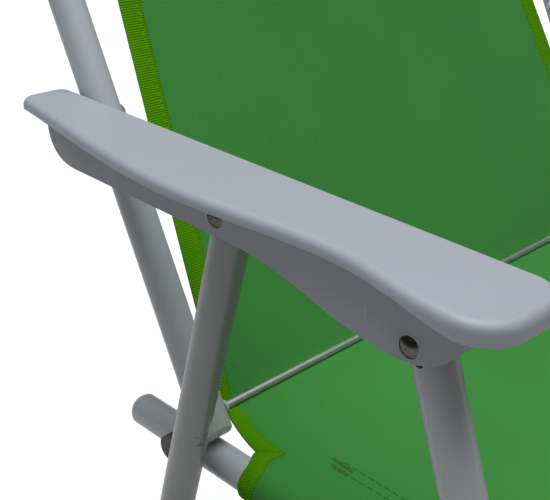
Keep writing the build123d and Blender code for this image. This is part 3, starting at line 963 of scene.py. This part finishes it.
points, faces = [], []
for rise in seam["topLines"]:
    run = seamRun - rise
    wide = halfWidth(run) - tape["width"]
    sewAlong(points, faces, lambda t: (wide * (2 * t - 1), run), 2 * wide, seam["lift"], seam)
topSeams = buildMesh("top_seams", points, faces, darkThread)
print("stitches sewn")

for piece, bends in [(slingPiece, True)] + tapes + stitchPieces:
    if bends:
        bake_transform(piece)
    else:
        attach(piece, "seat")
for piece in (seatSeams, seatTacks):
    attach(piece, "seat")
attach(topSeams, "back")
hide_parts("back_fabric", "seat_fabric")


# floor, light and sky
stage = {
    "floor": (0.50, 0.50, 0.50),
    "floorRough": 0.9,
    "glow": (0.8, 1.0),          # floor seen as white, near the chair and far from it
    "fade": (0.9, 2.6),
    "reach": 7.0,
    "sky": (1.0, 0.98, 0.94),
    "skyLevel": 0.11,
    "keyPower": 49.0,
    "keyTint": (0.96, 1.0, 1.05),
    "keySize": 2.0,
    "keyAt": (-0.35, -0.15, 2.6),
    "keyAim": (-0.1, 0.0, 0.5),
}
white = (1.0, 1.0, 1.0, 1.0)


def makeFloor():
    material = bpy.data.materials.new("paleFloor")
    material.use_nodes = True
    tree = material.node_tree
    shader = tree.nodes["Principled BSDF"]
    shader.inputs["Base Color"].default_value = (*stage["floor"], 1.0)
    shader.inputs["Roughness"].default_value = stage["floorRough"]
    shader.inputs["Emission Color"].default_value = white
    path = tree.nodes.new("ShaderNodeLightPath")
    seen = addMath(tree, "MAXIMUM", path.outputs["Is Camera Ray"], path.outputs["Is Glossy Ray"])
    seen = addMath(tree, "MAXIMUM", seen, path.outputs["Is Transmission Ray"])
    away = tree.nodes.new("ShaderNodeVectorMath")
    away.operation = "LENGTH"
    tree.links.new(tree.nodes.new("ShaderNodeTexCoord").outputs["Object"], away.inputs[0])
    glow = addRange(tree, away.outputs["Value"], *stage["fade"], *stage["glow"])
    tree.links.new(addMath(tree, "MULTIPLY", seen, glow), shader.inputs["Emission Strength"])
    reach = stage["reach"]
    corners = [(-reach, -reach, 0), (reach, -reach, 0), (reach, reach, 0), (-reach, reach, 0)]
    buildMesh("floor", corners, [(0, 1, 2, 3)], material)


def makeSky():
    world = bpy.data.worlds.new("studio")
    scene.world = world
    world.use_nodes = True
    tree = world.node_tree
    soft = tree.nodes["Background"]
    soft.inputs["Color"].default_value = (*stage["sky"], 1.0)
    soft.inputs["Strength"].default_value = stage["skyLevel"]
    backdrop = tree.nodes.new("ShaderNodeBackground")
    backdrop.inputs["Color"].default_value = white
    path = tree.nodes.new("ShaderNodeLightPath")
    mix = tree.nodes.new("ShaderNodeMixShader")
    tree.links.new(path.outputs["Is Camera Ray"], mix.inputs["Fac"])
    tree.links.new(soft.outputs[0], mix.inputs[1])
    tree.links.new(backdrop.outputs[0], mix.inputs[2])
    tree.links.new(mix.outputs[0], tree.nodes["World Output"].inputs["Surface"])


def makeKey():
    light = bpy.data.lights.new("overhead", "AREA")
    light.energy = stage["keyPower"]
    light.color = stage["keyTint"]
    light.size = stage["keySize"]
    lamp = bpy.data.objects.new("overhead", light)
    lamp.location = stage["keyAt"]
    aim = Vector(stage["keyAim"]) - lamp.location
    lamp.rotation_euler = aim.to_track_quat("-Z", "Y").to_euler()
    scene.collection.objects.link(lamp)


# the photograph's view: outside the right armrest, a little ahead and above
view = {"at": (-0.5642, -0.2914, 0.7545), "aim": (-0.1503, 0.1296, 0.4844), "lens": 65.52, "sensor": 36.0,
        "shift": 0.0227, "roll": 0.685, "near": 0.01}


def makeCamera():
    data = bpy.data.cameras.new("photoView")
    data.sensor_width = view["sensor"]
    data.sensor_fit = "HORIZONTAL"
    data.lens = view["lens"]
    data.shift_x = view["shift"]
    data.clip_start = view["near"]
    camera = bpy.data.objects.new("photoView", data)
    back = (Vector(view["at"]) - Vector(view["aim"])).normalized()
    right = Vector((0, 0, 1)).cross(back).normalized()
    up = back.cross(right)
    roll = math.radians(view["roll"])
    rolledRight = right * math.cos(roll) + up * math.sin(roll)
    rolledUp = up * math.cos(roll) - right * math.sin(roll)
    axes = Matrix((rolledRight, rolledUp, back)).transposed()
    camera.matrix_world = Matrix.Translation(view["at"]) @ axes.to_4x4()
    scene.collection.objects.link(camera)
    scene.camera = camera


makeFloor()
makeSky()
makeKey()
makeCamera()
print("stage set")
